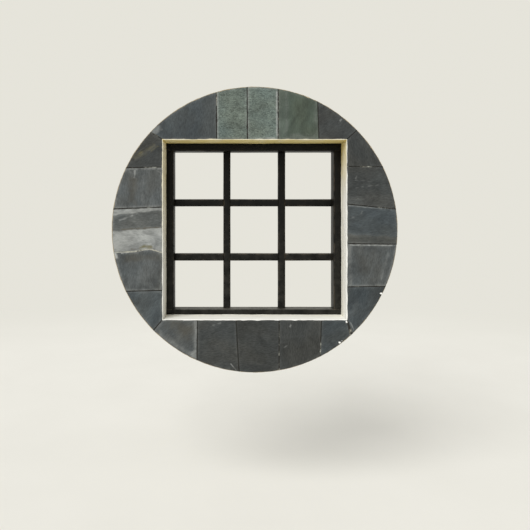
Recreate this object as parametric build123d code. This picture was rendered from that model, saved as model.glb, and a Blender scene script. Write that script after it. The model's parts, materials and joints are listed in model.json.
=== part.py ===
from build123d import *
import math
import os

# Round window for a garden wall: a ring of slates around a square opening, with a timber frame
# and a lattice in it.
# Millimetres. X runs to the right and Z up as seen from the front, and Y grows into the wall.
# The origin is the centre of the ring, on the face of the masonry that the ring is bedded on.

# Slate ring, which is narrowest at the corners of the opening
CORNER_WIDTH = 66.5
SLATE_THICKNESS = 12
SLATE_EASING = 1.5
JOINT_WIDTH = 4

# Where the hand-cut joints meet the opening, from the middle of each of its sides
TOP_JOINTS = (-189, -36, 117, 320)
RIGHT_JOINTS = (315, 127, -70, -285)
BOTTOM_JOINTS = (-285, -93, 122, 333)
LEFT_JOINTS = (311, 112, -303)
# How far each of them runs out of square, in degrees, with anticlockwise as positive
TOP_JOINT_ANGLES = (0.3, 0.3, 0, 1.9)
RIGHT_JOINT_ANGLES = (-0.8, -5.8, -0.6, 0.6)
BOTTOM_JOINT_ANGLES = (-0.7, 3.4, 0, -2)
LEFT_JOINT_ANGLES = (1, 2.2, 1.3)
# How far each mitre runs off the line from the middle of the ring through its corner
TOP_LEFT_MITRE_ANGLE = 13
TOP_RIGHT_MITRE_ANGLE = -2
BOTTOM_RIGHT_MITRE_ANGLE = -29
BOTTOM_LEFT_MITRE_ANGLE = 5
# The bottom right mitre opens outwards on each side
MITRE_FLARE_ANGLE = 4
# One more joint on the left was cut freehand: its runs from the opening and its rises above a level line
WAVY_LEFT_JOINT = -117
WAVE_RUNS = (30, 70, 113, 207)
WAVE_RISES = (11, 20, 12, 5)
WAVE_END = 260

# Layers that split off the slates' faces: the way from the slate's middle to the side that lost
# the layer, in degrees from straight down, and how far in from that side it is gone
FLAKES = {
    "slate_top_4": ((0, 20), (90, 15), (270, 42)),
    "slate_right_2": ((3, 62),),
    "slate_right_3": ((-3, 46),),
    "slate_right_4": ((272, 18),),
    "slate_bottom_1": ((90, 14), (24, 30)),
    "slate_left_1": ((213, 134),),
    "slate_left_3": ((186, 38), (5, 124)),
}
FLAKE_DEPTH = 1
FLAKE_WAVE = 2
FLAKE_WAVE_LENGTH = 60

# Mortar bed and pointing
BED_THICKNESS = 10
BED_MARGIN = 4
POINTING_RECESS = 2

# Opening and plastered reveal
OPENING_WIDTH = 920
OPENING_HEIGHT = 900
MASONRY_THICKNESS = 215
LIP_THICKNESS = 3
LIP_RECESS = 1
LIP_ROUNDING = 2
PLASTER_THICKNESS = 16
FLANGE_WIDTH = 7
REVEAL_DEPTH = 100

# Timber frame
FRAME_DEPTH = 80
STILE_WIDTH = 50
HEAD_HEIGHT = 50
SILL_HEIGHT = 38
FRAME_COVER = 10
FRAME_EASING = 3
TENON_THICKNESS = 26
TENON_SETBACK = 12
PEG_DIAMETER = 10
PEG_LENGTH = 64

# Lattice, flush with the back of the frame
BAR_WIDTH = 38
BAR_DEPTH = 34
BAR_EASING = 4
BAR_TENON_LENGTH = 14
BAR_TENON_THICKNESS = 14
UPRIGHT_SHIFT = 5

# Frame screws, two through each stile, driven straight into the masonry: the left pair is
# one course of bricks higher than the right pair
FIXING_SPACING = 600
FIXING_STAGGER = 75
SCREW_SHANK_DIAMETER = 6
SCREW_THREAD_DIAMETER = 7.5
SCREW_HEAD_DIAMETER = 11.5
SCREW_SOCKET_WIDTH = 4
SCREW_SOCKET_DEPTH = 3
EMBEDMENT = 60
COUNTERBORE_CLEARANCE = 0.5
PELLET_LENGTH = 8

# How far a cutter runs past what it cuts
OVERRUN = 15

# Depths along Y, from the face of the masonry
BED_FRONT = -BED_THICKNESS
SLATE_FRONT = BED_FRONT - SLATE_THICKNESS
LIP_FRONT = SLATE_FRONT + LIP_RECESS
POINTING_FRONT = SLATE_FRONT + POINTING_RECESS
FRAME_FRONT = REVEAL_DEPTH
FRAME_BACK = FRAME_FRONT + FRAME_DEPTH
BAR_FRONT = FRAME_BACK - BAR_DEPTH
FRAME_MIDDLE = (FRAME_FRONT + FRAME_BACK) / 2

# Sizes across the window
OUTER_RADIUS = math.hypot(OPENING_WIDTH / 2, OPENING_HEIGHT / 2) + CORNER_WIDTH
CLEAR_WIDTH = OPENING_WIDTH - 2 * LIP_THICKNESS
CLEAR_HEIGHT = OPENING_HEIGHT - 2 * LIP_THICKNESS
ROUGH_WIDTH = CLEAR_WIDTH + 2 * PLASTER_THICKNESS
ROUGH_HEIGHT = CLEAR_HEIGHT + 2 * PLASTER_THICKNESS
FRAME_WIDTH = CLEAR_WIDTH + 2 * FRAME_COVER
FRAME_HEIGHT = CLEAR_HEIGHT + 2 * FRAME_COVER
LIGHT_RIGHT = FRAME_WIDTH / 2 - STILE_WIDTH
LIGHT_TOP = FRAME_HEIGHT / 2 - HEAD_HEIGHT
LIGHT_BOTTOM = SILL_HEIGHT - FRAME_HEIGHT / 2
LIGHT_WIDTH = 2 * LIGHT_RIGHT
LIGHT_HEIGHT = LIGHT_TOP - LIGHT_BOTTOM
LIGHT_MIDDLE = (LIGHT_TOP + LIGHT_BOTTOM) / 2
PELLET_RADIUS = SCREW_HEAD_DIAMETER / 2 + COUNTERBORE_CLEARANCE


def between(profile, front, back):
    """Turn a profile drawn in front view into a solid that runs from one depth to another."""
    return extrude(Plane.XZ.offset(-back) * profile, amount=back - front)


def block(x_range, y_range, z_range):
    """A box given by its limits along each axis."""
    size = [high - low for low, high in (x_range, y_range, z_range)]
    middle = [(high + low) / 2 for low, high in (x_range, y_range, z_range)]
    return Pos(*middle) * Box(*size)


def opening():
    """The square hole in the ring, in front view."""
    return Rectangle(OPENING_WIDTH, OPENING_HEIGHT)


def flange():
    """The plaster's flange behind the slates, in front view, which the mortar bed ends against."""
    return Rectangle(ROUGH_WIDTH + 2 * FLANGE_WIDTH, ROUGH_HEIGHT + 2 * FLANGE_WIDTH)


# Slates

def joint_strip(x, z, angle, flare=0):
    """A joint's gap in front view, from the opening's edge outwards at an angle from +X."""
    reach = 2 * OUTER_RADIUS
    near = JOINT_WIDTH / 2
    far = near + reach * math.tan(math.radians(flare))
    gap = Polygon((-OVERRUN, near), (-OVERRUN, -near), (reach, -far), (reach, far), align=None)
    return Pos(x, z) * Rot(0, 0, angle) * gap


def wavy_strip(x, z):
    """The gap of the freehand joint, which runs to the left."""
    half = JOINT_WIDTH / 2
    reach = 2 * OUTER_RADIUS
    line = [(-OVERRUN, 0), *((run, -rise) for run, rise in zip(WAVE_RUNS, WAVE_RISES)), (WAVE_END, 0)]
    left = Spline(*[(run, offset + half) for run, offset in line])
    right = Spline(*[(run, offset - half) for run, offset in line])
    far = Polyline(right @ 1, (reach, -half), (reach, half), left @ 1)
    gap = make_face([left, right, far, Line(left @ 0, right @ 0)])
    return Pos(x, z) * Rot(0, 0, 180) * gap


def mitre_strip(x, z, lean, flare=0):
    diagonal = math.degrees(math.atan2(z, x))
    return joint_strip(x, z, diagonal + lean, flare)


def joint_strips():
    """The gaps of all the joints, in front view."""
    right, top = OPENING_WIDTH / 2, OPENING_HEIGHT / 2
    strips = [
        mitre_strip(-right, top, TOP_LEFT_MITRE_ANGLE),
        mitre_strip(right, top, TOP_RIGHT_MITRE_ANGLE),
        mitre_strip(right, -top, BOTTOM_RIGHT_MITRE_ANGLE, MITRE_FLARE_ANGLE),
        mitre_strip(-right, -top, BOTTOM_LEFT_MITRE_ANGLE),
    ]
    strips += [joint_strip(x, top, 90 + lean) for x, lean in zip(TOP_JOINTS, TOP_JOINT_ANGLES)]
    strips += [joint_strip(right, z, lean) for z, lean in zip(RIGHT_JOINTS, RIGHT_JOINT_ANGLES)]
    strips += [joint_strip(x, -top, 270 + lean) for x, lean in zip(BOTTOM_JOINTS, BOTTOM_JOINT_ANGLES)]
    strips += [joint_strip(-right, z, 180 + lean) for z, lean in zip(LEFT_JOINTS, LEFT_JOINT_ANGLES)]
    return strips + [wavy_strip(-right, WAVY_LEFT_JOINT)]


def slate_outlines():
    """What the joints leave of the ring, clockwise from the top left corner."""
    ring = Circle(OUTER_RADIUS) - opening()
    for strip in joint_strips():
        ring -= strip
    corner = math.atan2(OPENING_HEIGHT, -OPENING_WIDTH)

    def turn_from_corner(outline):
        centre = outline.center()
        return (corner - math.atan2(centre.Y, centre.X)) % (2 * math.pi)

    return sorted(ring.faces(), key=turn_from_corner)


def slate_names():
    """Names clockwise: along the top, down the right, back along the bottom and up the left."""
    names = [f"slate_top_{n}" for n in (1, 2, 3, 4, 5)]
    names += [f"slate_right_{n}" for n in (1, 2, 3, 4, 5)]
    names += [f"slate_bottom_{n}" for n in (5, 4, 3, 2, 1)]
    names += [f"slate_left_{n}" for n in (5, 4, 3, 2, 1)]
    return names


def flake(outline, turn, reach):
    """The split-off layer along one side of a slate, ending at a wavy line."""
    box = outline.bounding_box()
    sine, cosine = abs(math.sin(math.radians(turn))), abs(math.cos(math.radians(turn)))
    half_across = (box.size.X * sine + box.size.Y * cosine) / 2
    half_along = (box.size.X * cosine + box.size.Y * sine) / 2 + OVERRUN
    steps = math.ceil(2 * half_along / FLAKE_WAVE_LENGTH) * 2
    wave = []
    for step in range(steps + 1):
        along = half_along * (2 * step / steps - 1)
        wave.append((along, reach - half_across + FLAKE_WAVE * math.sin(step * 2)))
    edge = Spline(*wave)
    low = -half_across - OVERRUN
    sides = Polyline(edge @ 1, (half_along, low), (-half_along, low), edge @ 0)
    lost = Pos(box.center().X, box.center().Y) * Rot(0, 0, turn) * make_face([edge, sides])
    return between(lost, SLATE_FRONT - OVERRUN, SLATE_FRONT + FLAKE_DEPTH)


def slate(outline, flakes):
    """One slate with its front edges eased and its split-off layers gone."""
    body = between(outline, SLATE_FRONT, BED_FRONT)
    front = body.faces().sort_by(Axis.Y)[0]
    body = chamfer(front.edges(), SLATE_EASING)
    for turn, reach in flakes:
        body -= flake(outline, turn, reach)
    return body


def slates():
    named = zip(slate_names(), slate_outlines())
    return {name: slate(outline, FLAKES.get(name, ())) for name, outline in named}


# Mortar

def mortar_bed():
    """The bed behind the slates, with the pointing that stands in their joints."""
    bed = between(Circle(OUTER_RADIUS + BED_MARGIN) - flange(), BED_FRONT, 0)
    ring = Circle(OUTER_RADIUS) - opening()
    for strip in joint_strips():
        bed += between(strip & ring, POINTING_FRONT, BED_FRONT)
    return bed


# Plaster

def plaster_reveal():
    """The lining: a lip beside the slates, a flange behind them and a sleeve that holds the frame."""
    lip = between(opening(), LIP_FRONT, BED_FRONT)
    sleeve = between(Rectangle(ROUGH_WIDTH, ROUGH_HEIGHT), 0, MASONRY_THICKNESS)
    body = lip + between(flange(), BED_FRONT, 0) + sleeve
    body -= between(Rectangle(CLEAR_WIDTH, CLEAR_HEIGHT), LIP_FRONT, MASONRY_THICKNESS)
    along_y = body.faces().sort_by(Axis.Y)
    arrises = along_y[0].inner_wires().edges() + along_y[-1].inner_wires().edges()
    body = fillet(arrises, LIP_ROUNDING)
    body -= between(Rectangle(FRAME_WIDTH, FRAME_HEIGHT), FRAME_FRONT, FRAME_BACK)
    hole = along_x(SCREW_THREAD_DIAMETER / 2, screw_thread_start() - PLASTER_THICKNESS, PLASTER_THICKNESS)
    for place in fixing_places():
        body -= place * hole
    return body


# Frame

def eased_light():
    """The cutter that eases the front edge all round the daylight opening, mitred at its corners."""
    wide = Rectangle(LIGHT_WIDTH + 2 * FRAME_EASING, LIGHT_HEIGHT + 2 * FRAME_EASING)
    narrow = Rectangle(LIGHT_WIDTH, LIGHT_HEIGHT)
    lift = Pos(0, LIGHT_MIDDLE)
    front = Plane.XZ.offset(-FRAME_FRONT) * lift * wide
    back = Plane.XZ.offset(-FRAME_FRONT - FRAME_EASING) * lift * narrow
    return loft([front.face(), back.face()])


def tenon(side, z_range):
    """A tenon of a stile, kept back from the frame's outer edge."""
    inner = side * LIGHT_RIGHT
    outer = side * (FRAME_WIDTH / 2 - TENON_SETBACK)
    y_range = (FRAME_MIDDLE - TENON_THICKNESS / 2, FRAME_MIDDLE + TENON_THICKNESS / 2)
    return block(sorted((inner, outer)), y_range, z_range)


def head_tenon(side):
    return tenon(side, (LIGHT_TOP, FRAME_HEIGHT / 2))


def sill_tenon(side):
    return tenon(side, (-FRAME_HEIGHT / 2, LIGHT_BOTTOM))


def peg_places():
    """Centres of the four pegs, each in the middle of its rail and its tenon."""
    x = (LIGHT_RIGHT + FRAME_WIDTH / 2 - TENON_SETBACK) / 2
    top = (LIGHT_TOP + FRAME_HEIGHT / 2) / 2
    bottom = (LIGHT_BOTTOM - FRAME_HEIGHT / 2) / 2
    return [Pos(side * x, z) for side in (-1, 1) for z in (top, bottom)]


def frame_pegs():
    """Round pegs driven in from the front, through the rails and the tenons."""
    end = Circle(PEG_DIAMETER / 2)
    tip = FRAME_FRONT + PEG_LENGTH
    return Compound(children=[between(place * end, FRAME_FRONT, tip) for place in peg_places()])


def rail(z_range, tenon_of):
    """The head or the sill: full width, mortised for stiles and uprights, and drilled for the pegs."""
    body = block((-FRAME_WIDTH / 2, FRAME_WIDTH / 2), (FRAME_FRONT, FRAME_BACK), z_range)
    body -= eased_light()
    for side in (-1, 1):
        body -= tenon_of(side)
    for x in upright_centres():
        body -= upright_tenons(x)
    return body - frame_pegs()


def frame_head():
    return rail((LIGHT_TOP, FRAME_HEIGHT / 2), head_tenon)


def frame_sill():
    return rail((-FRAME_HEIGHT / 2, LIGHT_BOTTOM), sill_tenon)


def frame_stile(side):
    """A stile between head and sill: tenoned into both, mortised for the crossbars and bored."""
    x_range = sorted((side * LIGHT_RIGHT, side * FRAME_WIDTH / 2))
    body = block(x_range, (FRAME_FRONT, FRAME_BACK), (LIGHT_BOTTOM, LIGHT_TOP))
    body -= eased_light()
    body += head_tenon(side)
    body += sill_tenon(side)
    for z in crossbar_centres():
        body -= crossbar_tenons(z)
    for place in fixing_places():
        body -= place * fixing_pellet()
        body -= place * screw_body()
    return body - frame_pegs()


# Lattice

def upright_centres():
    """The two uprights share the light evenly, moved sideways together."""
    cell = (LIGHT_WIDTH - 2 * BAR_WIDTH) / 3
    offset = (cell + BAR_WIDTH) / 2
    return UPRIGHT_SHIFT - offset, UPRIGHT_SHIFT + offset


def crossbar_centres():
    """The two crossbars share the light evenly, lower one first."""
    cell = (LIGHT_HEIGHT - 2 * BAR_WIDTH) / 3
    offset = (cell + BAR_WIDTH) / 2
    return LIGHT_MIDDLE - offset, LIGHT_MIDDLE + offset


def tenon_depths():
    middle = (BAR_FRONT + FRAME_BACK) / 2
    return middle - BAR_TENON_THICKNESS / 2, middle + BAR_TENON_THICKNESS / 2


def upright_tenons(x):
    """Both stub tenons of an upright, as one bar through its length."""
    z_range = (LIGHT_BOTTOM - BAR_TENON_LENGTH, LIGHT_TOP + BAR_TENON_LENGTH)
    return block((x - BAR_WIDTH / 2, x + BAR_WIDTH / 2), tenon_depths(), z_range)


def crossbar_tenons(z):
    """Both stub tenons of a crossbar, as one bar through its length."""
    x_range = (-LIGHT_RIGHT - BAR_TENON_LENGTH, LIGHT_RIGHT + BAR_TENON_LENGTH)
    return block(x_range, tenon_depths(), (z - BAR_WIDTH / 2, z + BAR_WIDTH / 2))


def eased_bar(x_range, z_range, along):
    """A lattice bar whose two long front edges are chamfered."""
    body = block(x_range, (BAR_FRONT, FRAME_BACK), z_range)
    front = body.faces().sort_by(Axis.Y)[0]
    return chamfer(front.edges().filter_by(along), BAR_EASING)


def lattice_upright(x):
    """An upright, cut away behind where the crossbars pass."""
    body = eased_bar((x - BAR_WIDTH / 2, x + BAR_WIDTH / 2), (LIGHT_BOTTOM, LIGHT_TOP), Axis.Z)
    body += upright_tenons(x)
    middle = (BAR_FRONT + FRAME_BACK) / 2
    for z in crossbar_centres():
        housing = (z - BAR_WIDTH / 2, z + BAR_WIDTH / 2)
        body -= block((x - BAR_WIDTH, x + BAR_WIDTH), (middle, FRAME_BACK), housing)
    return body


def lattice_crossbar(z):
    """A crossbar, cut away in front where the uprights pass."""
    body = eased_bar((-LIGHT_RIGHT, LIGHT_RIGHT), (z - BAR_WIDTH / 2, z + BAR_WIDTH / 2), Axis.X)
    body += crossbar_tenons(z)
    middle = (BAR_FRONT + FRAME_BACK) / 2
    for x in upright_centres():
        housing = (x - BAR_WIDTH / 2, x + BAR_WIDTH / 2)
        body -= block(housing, (BAR_FRONT, middle), (z - BAR_WIDTH, z + BAR_WIDTH))
    return body


# Fixings, each drawn along +X from the daylight side of the right stile

def fixing_places():
    """The four fixings: two on the right that point along +X and two on the left that point along -X."""
    places = []
    for z in (-FIXING_SPACING / 2, FIXING_SPACING / 2):
        places.append(Pos(LIGHT_RIGHT, FRAME_MIDDLE, z - FIXING_STAGGER / 2))
        places.append(Pos(-LIGHT_RIGHT, FRAME_MIDDLE, z + FIXING_STAGGER / 2) * Rot(0, 0, 180))
    return places


def along_x(radius, start, length):
    """A round bar along +X."""
    return Pos(start + length / 2, 0, 0) * Rot(0, 90, 0) * Cylinder(radius, length)


def cone_x(first_radius, last_radius, start, length):
    """A round taper along +X."""
    return Pos(start + length / 2, 0, 0) * Rot(0, 90, 0) * Cone(first_radius, last_radius, length)


def screw_thread_start():
    """Where the thread begins: at the plaster's outer face, where the masonry begins."""
    return ROUGH_WIDTH / 2 - LIGHT_RIGHT


def screw_body():
    """The outside of a screw: a countersunk head, a plain shank and a thread with a blunt end."""
    head = SCREW_HEAD_DIAMETER / 2
    shank = SCREW_SHANK_DIAMETER / 2
    thread = SCREW_THREAD_DIAMETER / 2
    start = screw_thread_start()
    body = cone_x(head, shank, PELLET_LENGTH, head - shank)
    body += along_x(shank, PELLET_LENGTH, start - PELLET_LENGTH)
    return body + along_x(thread, start, EMBEDMENT)


def fixing_screw():
    """The screw with the square socket in its head."""
    half = SCREW_SOCKET_WIDTH / 2
    socket = block((PELLET_LENGTH, PELLET_LENGTH + SCREW_SOCKET_DEPTH), (-half, half), (-half, half))
    return screw_body() - socket


def fixing_pellet():
    """The timber pellet that closes the counterbore, flush with the stile."""
    return along_x(PELLET_RADIUS, 0, PELLET_LENGTH)


def at_fixings(solid):
    return Compound(children=[place * solid for place in fixing_places()])


def build():
    """Every node by its name."""
    nodes = slates()
    nodes["mortar_bed"] = mortar_bed()
    nodes["plaster_reveal"] = plaster_reveal()
    nodes["frame_head"] = frame_head()
    nodes["frame_sill"] = frame_sill()
    nodes["frame_stile_left"] = frame_stile(-1)
    nodes["frame_stile_right"] = frame_stile(1)
    nodes["frame_pegs"] = frame_pegs()
    for name, x in zip(("left", "right"), upright_centres()):
        nodes[f"lattice_upright_{name}"] = lattice_upright(x)
    for name, z in zip(("lower", "upper"), crossbar_centres()):
        nodes[f"lattice_crossbar_{name}"] = lattice_crossbar(z)
    nodes["fixing_screws"] = at_fixings(fixing_screw())
    nodes["fixing_pellets"] = at_fixings(fixing_pellet())
    return nodes


os.makedirs("parts", exist_ok=True)
for node_name, shape in build().items():
    export_step(shape, f"parts/{node_name}.step")
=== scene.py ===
# %% [markdown]
# # A round window in slate, plaster and black timber
#
# The exact solids of the window are loaded as a fixed frame: twenty slates on a bed of mortar, a
# plastered reveal, a timber frame with its lattice, and the screws that hold it. They are flat and
# sharp. This lesson gives them what tools, weather and hands gave the real one: split stone, pointed
# joints, trowelled plaster and painted wood.
#
# Everything is in metres. X runs to the right and Z up as seen from the front, and Y to the back.

# %% Load the frame that everything is fitted to
import json
import math
from collections import namedtuple

import bmesh
import bpy
import numpy as np
from mathutils import Matrix, Vector, kdtree, noise


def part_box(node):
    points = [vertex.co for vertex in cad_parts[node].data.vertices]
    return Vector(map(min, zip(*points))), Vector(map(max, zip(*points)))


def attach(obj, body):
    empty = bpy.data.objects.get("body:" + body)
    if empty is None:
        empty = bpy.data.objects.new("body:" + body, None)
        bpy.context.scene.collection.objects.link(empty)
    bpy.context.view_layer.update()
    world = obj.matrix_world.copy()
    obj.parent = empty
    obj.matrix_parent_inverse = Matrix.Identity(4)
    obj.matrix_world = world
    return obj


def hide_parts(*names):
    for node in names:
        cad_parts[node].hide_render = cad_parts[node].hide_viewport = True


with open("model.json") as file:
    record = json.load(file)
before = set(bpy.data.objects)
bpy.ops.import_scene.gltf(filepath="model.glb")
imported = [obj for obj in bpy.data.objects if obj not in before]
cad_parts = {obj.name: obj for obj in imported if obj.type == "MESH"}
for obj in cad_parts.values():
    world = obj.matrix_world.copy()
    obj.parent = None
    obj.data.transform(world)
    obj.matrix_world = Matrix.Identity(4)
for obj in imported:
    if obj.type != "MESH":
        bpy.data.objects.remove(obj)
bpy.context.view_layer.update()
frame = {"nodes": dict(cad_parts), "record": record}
cad_nodes = frame["nodes"]
print("nodes in the frame:", len(cad_nodes))

# %% [markdown]
# ## Camera
#
# The picture was taken square to the window, so its uprights stay upright and its level lines level.
# The window isn't in the middle of the picture, though, and turning the camera to move it would make
# those lines lean. A lens shift slides the picture without turning the camera.

# %% Place the camera where the photograph was taken from
def new_object(name, data):
    """A new object in the scene."""
    made = bpy.data.objects.new(name, data)
    bpy.context.scene.collection.objects.link(made)
    return made


CAMERA_PLACE = (-0.110, -2.622, 0.0705)
camera_data = bpy.data.cameras.new("camera")
camera_data.lens = 35.49
camera_data.sensor_width = 36.0
camera_data.shift_x = 0.0611
camera_data.shift_y = -0.0934
camera = new_object("camera", camera_data)
camera.location = CAMERA_PLACE
camera.rotation_euler = (math.radians(90), 0, 0)
bpy.context.scene.camera = camera

# %% [markdown]
# ## Building materials from nodes
#
# Each finish is a small network: coordinates, noise in cells of a real size, and colours mixed by it.
# Short helpers keep the networks readable. The Mapping node of type TEXTURE divides by its scale, so a
# scale given in metres is the size of one cell of the pattern.

# %% Helpers that add nodes
def add(tree, kind, inputs=None, **settings):
    """Adds a node, sets its options, and fills or links its inputs."""
    made = tree.nodes.new("ShaderNode" + kind)
    for name, value in settings.items():
        setattr(made, name, value)
    for socket, value in (inputs or {}).items():
        if isinstance(value, bpy.types.NodeSocket):
            tree.links.new(value, made.inputs[socket])
        else:
            made.inputs[socket].default_value = value
    return made


def new_finish(name, roughness, **constants):
    """A material with one shader, whose plain numbers are set on the shader itself."""
    finish = bpy.data.materials.new(name)
    finish.use_nodes = True
    shader = finish.node_tree.nodes["Principled BSDF"]
    shader.inputs["Roughness"].default_value = roughness
    for socket, value in constants.items():
        shader.inputs[socket.replace("_", " ")].default_value = value
    return finish, finish.node_tree, shader


def object_space(tree):
    """The place of a point in the window, in metres."""
    return add(tree, "TexCoord").outputs["Object"]


def painted_on(tree, name, output="Fac"):
    """An attribute that the mesh carries at its vertices."""
    return add(tree, "Attribute", attribute_name=name).outputs[output]


def cloud(tree, space, cell, detail=3.0, roughness=0.5, distortion=0.0):
    """Noise between 0 and 1 in cells of this size, or this long, deep and wide."""
    cell = (cell,) * 3 if isinstance(cell, float) else cell
    cells = add(tree, "Mapping", {"Vector": space, "Scale": cell}, vector_type="TEXTURE")
    inputs = {"Vector": cells.outputs["Vector"], "Scale": 1.0, "Detail": detail,
              "Roughness": roughness, "Distortion": distortion}
    return add(tree, "TexNoise", inputs).outputs["Fac"]


def ramp(tree, value, low, high, bottom=0.0, top=1.0):
    """A soft step from bottom to top while the value goes from low to high."""
    inputs = {"Value": value, "From Min": low, "From Max": high, "To Min": bottom, "To Max": top}
    return add(tree, "MapRange", inputs, interpolation_type="SMOOTHSTEP").outputs["Result"]


def math_node(tree, operation, first, second):
    """Two values put together by one sum."""
    return add(tree, "Math", {0: first, 1: second}, operation=operation).outputs[0]


def mix(tree, amount, first, second, blend_type="MIX"):
    """Two colours mixed: none of the second at 0, all of it at 1."""
    inputs = {0: amount, 6: first, 7: second}
    return add(tree, "Mix", inputs, data_type="RGBA", blend_type=blend_type).outputs[2]


def product(tree, first, *others):
    """All the values multiplied."""
    for other in others:
        first = math_node(tree, "MULTIPLY", first, other)
    return first


def shaded(tree, colour, lightness):
    """A colour made lighter or darker by a value."""
    spread = add(tree, "CombineXYZ", {"X": lightness, "Y": lightness, "Z": lightness}).outputs[0]
    return mix(tree, 1.0, colour, spread, "MULTIPLY")


def scaled(colour, *factors):
    """A colour with each channel multiplied, as a socket takes it."""
    return (*(part * factor for part, factor in zip(colour, factors)), 1.0)


def bump(tree, shader, *heights):
    """Lets the light see heights that the mesh is too coarse for."""
    below = {}
    for height, distance in heights:
        inputs = {"Height": height, "Distance": distance, "Strength": 1.0, **below}
        below = {"Normal": add(tree, "Bump", inputs).outputs["Normal"]}
    tree.links.new(below["Normal"], shader.inputs["Normal"])


# %% [markdown]
# ## Stage and light
#
# A plain pale floor lies well below the window. It fades into the background some metres out, so no
# horizon cuts behind the window. The fade shows only to the camera and in reflections, which is what
# the Light Path node tells apart: for the light that falls on the window the floor stays a floor.
#
# A sun lamp with a wide disc, for soft shadows, shines from high on the left in front, because in the
# photograph the sill is the brightest face, the right reveal is brighter than the left one, and the
# soffit is in shade. The world fills in.

# %% Floor, world and lamp
WHITE = (1.0, 1.0, 1.0, 1.0)
BACKGROUND = (0.790, 0.775, 0.705, 1.0)
GROUND_HEIGHT = -1.40
GROUND_RADIUS = 9.0
GROUND_DIM = (0.760, 0.745, 0.680, 1.0)
GROUND_LIGHT = (0.810, 0.795, 0.730, 1.0)
FADE_START = 3.2
FADE_END = 6.5
WORLD_FILL = 0.57
KEY_DIRECTION = Vector((-1.9, -3.0, 3.1))
KEY_DISC = math.radians(42)
KEY_STRENGTH = 2.38


def seen_directly(tree):
    """1 for rays from the camera, in reflections and through glass, or else 0."""
    path = add(tree, "LightPath").outputs
    glossy = math_node(tree, "MAXIMUM", path["Is Camera Ray"], path["Is Glossy Ray"])
    return math_node(tree, "MAXIMUM", glossy, path["Is Transmission Ray"])


def light_world():
    """An even white fill, which the camera sees as the background colour."""
    world = bpy.data.worlds.new("pale_studio")
    world.use_nodes = True
    tree = world.node_tree
    fill = add(tree, "Background", {"Color": WHITE, "Strength": WORLD_FILL})
    shown = add(tree, "Background", {"Color": BACKGROUND, "Strength": 1.0})
    both = add(tree, "MixShader", {0: seen_directly(tree), 1: fill.outputs[0], 2: shown.outputs[0]})
    tree.links.new(both.outputs[0], tree.nodes["World Output"].inputs["Surface"])
    bpy.context.scene.world = world


def floor_finish():
    """A pale, faintly cloudy floor that fades into the background."""
    finish, tree, shader = new_finish("pale_floor", 0.9)
    place = add(tree, "SeparateXYZ", {"Vector": object_space(tree)}).outputs
    flat = add(tree, "CombineXYZ", {"X": place["X"], "Y": place["Y"]}).outputs[0]
    distance = add(tree, "VectorMath", {0: flat}, operation="LENGTH").outputs["Value"]
    fade = ramp(tree, distance, FADE_START, FADE_END)
    haze = cloud(tree, object_space(tree), 0.6)
    colour = mix(tree, haze, GROUND_DIM, GROUND_LIGHT)
    tree.links.new(colour, shader.inputs["Base Color"])
    shown = add(tree, "Emission", {"Color": BACKGROUND, "Strength": 1.0})
    amount = product(tree, fade, seen_directly(tree))
    both = add(tree, "MixShader", {0: amount, 1: shader.outputs[0], 2: shown.outputs[0]})
    tree.links.new(both.outputs[0], tree.nodes["Material Output"].inputs["Surface"])
    return finish


def mesh_from(bm, name):
    """The finished mesh of a bmesh, which is freed."""
    mesh = bpy.data.meshes.new(name)
    bm.to_mesh(mesh)
    bm.free()
    return mesh


def lay_floor():
    """A wide disc that stays out of the part."""
    bm = bmesh.new()
    bmesh.ops.create_circle(bm, cap_ends=True, radius=GROUND_RADIUS, segments=96)
    bmesh.ops.translate(bm, vec=(0, 0, GROUND_HEIGHT), verts=bm.verts)
    mesh = mesh_from(bm, "floor")
    mesh.materials.append(floor_finish())
    floor = new_object("floor", mesh)


def hang_key_lamp():
    """A sun lamp that shines on the window from its place."""
    lamp = bpy.data.lights.new("key", "SUN")
    lamp.angle = KEY_DISC
    lamp.energy = KEY_STRENGTH
    key = new_object("key", lamp)
    key.location = KEY_DIRECTION
    key.rotation_mode = "QUATERNION"
    key.rotation_quaternion = (-KEY_DIRECTION).to_track_quat("-Z", "Y")


light_world()
lay_floor()
hang_key_lamp()
bpy.context.scene.view_settings.view_transform = "Standard"
print("floor at", GROUND_HEIGHT, "m, lamp of", KEY_STRENGTH, "W/m2")

# %% [markdown]
# ## From a CAD node to a mesh that can be worked
#
# A CAD node comes in as loose triangles. Merging the doubles joins them, and a limited dissolve makes
# each flat face whole again. Planes then slice it into a fine net, whose points can be pushed: the
# outline stays exactly where the solid has it, which a remesh would round off.

# %% Helpers that copy, slice, shade and finish a piece
MERGE_DISTANCE = 1e-5
ON_PLANE = 1e-7
FLAT_WITHIN = math.radians(0.3)
MM = 0.001


def merged_copy(node):
    """A bmesh of a CAD node, with its triangles joined into whole faces."""
    bm = bmesh.new()
    bm.from_mesh(cad_nodes[node].data)
    bmesh.ops.remove_doubles(bm, verts=bm.verts, dist=MERGE_DISTANCE)
    bmesh.ops.dissolve_limit(bm, angle_limit=FLAT_WITHIN, verts=bm.verts, edges=bm.edges)
    return bm


def slice_along(bm, axis, pitch, faces=None):
    """Cuts the mesh, or only some of its faces, with even planes across one axis."""
    faces = faces or bm.faces[:]
    edges = dict.fromkeys(edge for face in faces for edge in face.edges)
    verts = dict.fromkeys(vert for edge in edges for vert in edge.verts)
    places = [vert.co[axis] for vert in verts]
    low, high = min(places), max(places)
    count = max(1, round((high - low) / pitch))
    normal = Vector([float(number == axis) for number in range(3)])
    geometry = [*verts, *edges, *faces]
    for step in range(1, count):
        place = normal * (low + (high - low) * step / count)
        cut = bmesh.ops.bisect_plane(bm, geom=geometry, dist=ON_PLANE, plane_co=place, plane_no=normal)
        geometry = cut["geom"]
    return [element for element in geometry if isinstance(element, bmesh.types.BMFace)]


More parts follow.
